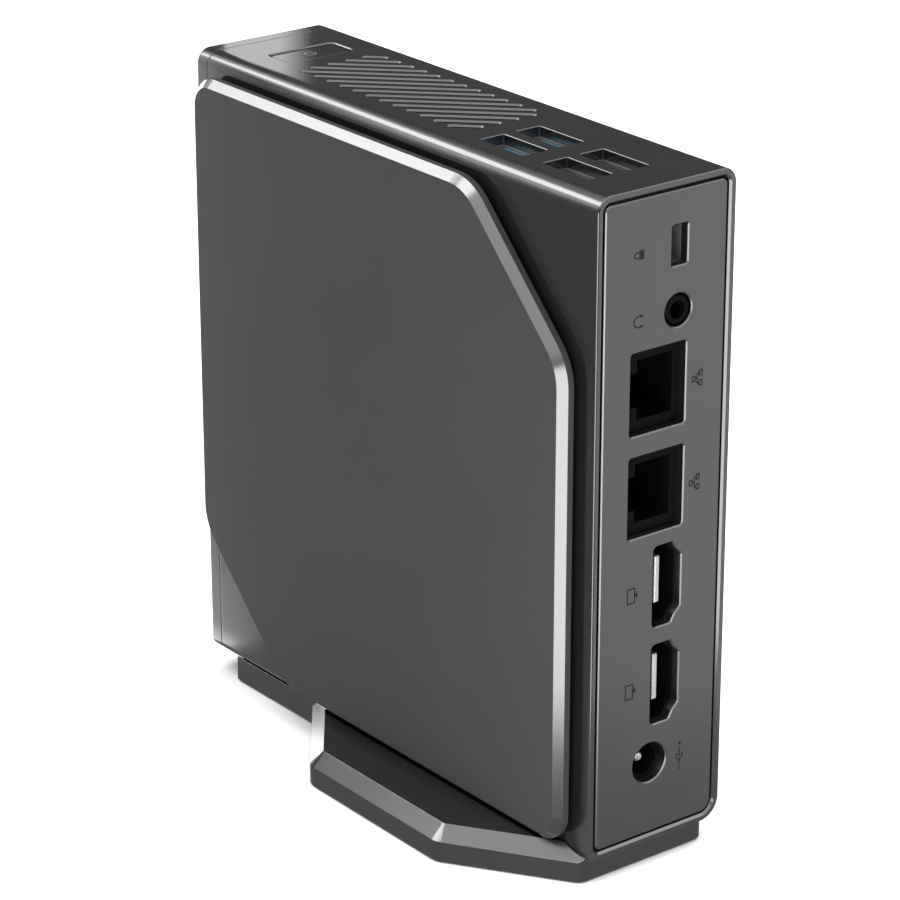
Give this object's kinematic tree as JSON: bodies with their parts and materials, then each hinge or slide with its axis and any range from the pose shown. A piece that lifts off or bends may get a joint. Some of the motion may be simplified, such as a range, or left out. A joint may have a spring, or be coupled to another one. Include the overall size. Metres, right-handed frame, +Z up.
{
  "type": "mini pc",
  "caption": "Slim upright mini computer with a floating side plate, a rear socket panel, ports and vents on top, and a foot stand that it lifts off.",
  "frame": {"origin": "on the floor under the middle of the stand", "axes": "+Z up, +Y to the rear where the sockets are, +X towards the floating side plate"},
  "size_m": [0.0644, 0.129, 0.1402],
  "materials": {
    "shell_metal": "satin gunmetal paint",
    "plate_metal": "fine matt, polished chamfer",
    "panel_metal": "fine matt",
    "stand_metal": "satin",
    "cover_plastic": "fine spark texture",
    "button_metal": "satin gunmetal paint",
    "rubber_black": "matt",
    "screw_steel": "blackened",
    "post_steel": "plain",
    "socket_steel": "dulled plate",
    "tongue_blue": "smooth moulded",
    "tongue_black": "smooth moulded",
    "contact_gold": "plated",
    "jack_plastic": "moulded",
    "pin_nickel": "plated",
    "board_laminate": "solder mask",
    "chip_resin": "moulded resin",
    "can_aluminium": "plain",
    "copper": "bare copper",
    "fan_plastic": "moulded",
    "battery_steel": "plain",
    "antenna_foil": "flexible film"
  },
  "bodies": {
    "stand": {"stand_base": "stand_metal", "stand_pads": "rubber_black"},
    "case": {"main_shell": "shell_metal", "front_cover": "shell_metal", "side_plate": "plate_metal", "rear_panel": "panel_metal", "base_cover": "cover_plastic", "base_feet": "rubber_black", "plate_screws": "screw_steel", "base_screws": "screw_steel", "board_screws": "screw_steel", "cooler_screws": "screw_steel", "fan_screws": "screw_steel", "card_screws": "screw_steel", "plate_posts": "post_steel", "board_posts": "post_steel", "card_standoffs": "post_steel", "fan_bearing": "post_steel", "usb3_shell": "socket_steel", "usb2_shell": "socket_steel", "lock_pocket": "socket_steel", "usb3_tongues": "tongue_blue", "usb2_tongues": "tongue_black", "lan_contacts": "contact_gold", "audio_jack": "jack_plastic", "dc_jack": "jack_plastic", "lan_jack_upper": "jack_plastic", "lan_jack_lower": "jack_plastic", "hdmi_shell_upper": "jack_plastic", "hdmi_shell_lower": "jack_plastic", "power_switch": "jack_plastic", "memory_socket": "jack_plastic", "ssd_socket": "jack_plastic", "radio_socket": "jack_plastic", "battery_holder": "jack_plastic", "dc_pin": "pin_nickel", "hdmi_tongues": "pin_nickel", "usb_contacts": "pin_nickel", "mainboard": "board_laminate", "memory_module": "board_laminate", "ssd_card": "board_laminate", "radio_card": "board_laminate", "processor": "chip_resin", "memory_chips": "chip_resin", "chokes": "chip_resin", "capacitors": "can_aluminium", "fin_stack": "can_aluminium", "cold_plate": "copper", "heat_pipes": "copper", "fan_stator": "copper", "fan_housing": "fan_plastic", "fan_cover": "fan_plastic", "clock_battery": "battery_steel", "antennas": "antenna_foil"},
    "power_button": {"power_button": "button_metal", "switch_plunger": "jack_plastic"},
    "fan_rotor": {"fan_rotor": "fan_plastic"}
  },
  "joints": [
    {"name": "case_lift", "type": "slide", "parent": "stand", "child": "case", "axis": [0, 0, 1], "range_m": [0, 0.03]},
    {"name": "power_press", "type": "slide", "parent": "case", "child": "power_button", "axis": [0, 0, -1], "range_m": [0, 0.0005], "stiffness_N_per_m": 500, "springref_m": -0.001},
    {"name": "fan_spin", "type": "hinge", "parent": "case", "child": "fan_rotor", "pos_m": [0.00645, -0.01, 0.0862], "axis": [1, 0, 0], "continuous": true}
  ]
}
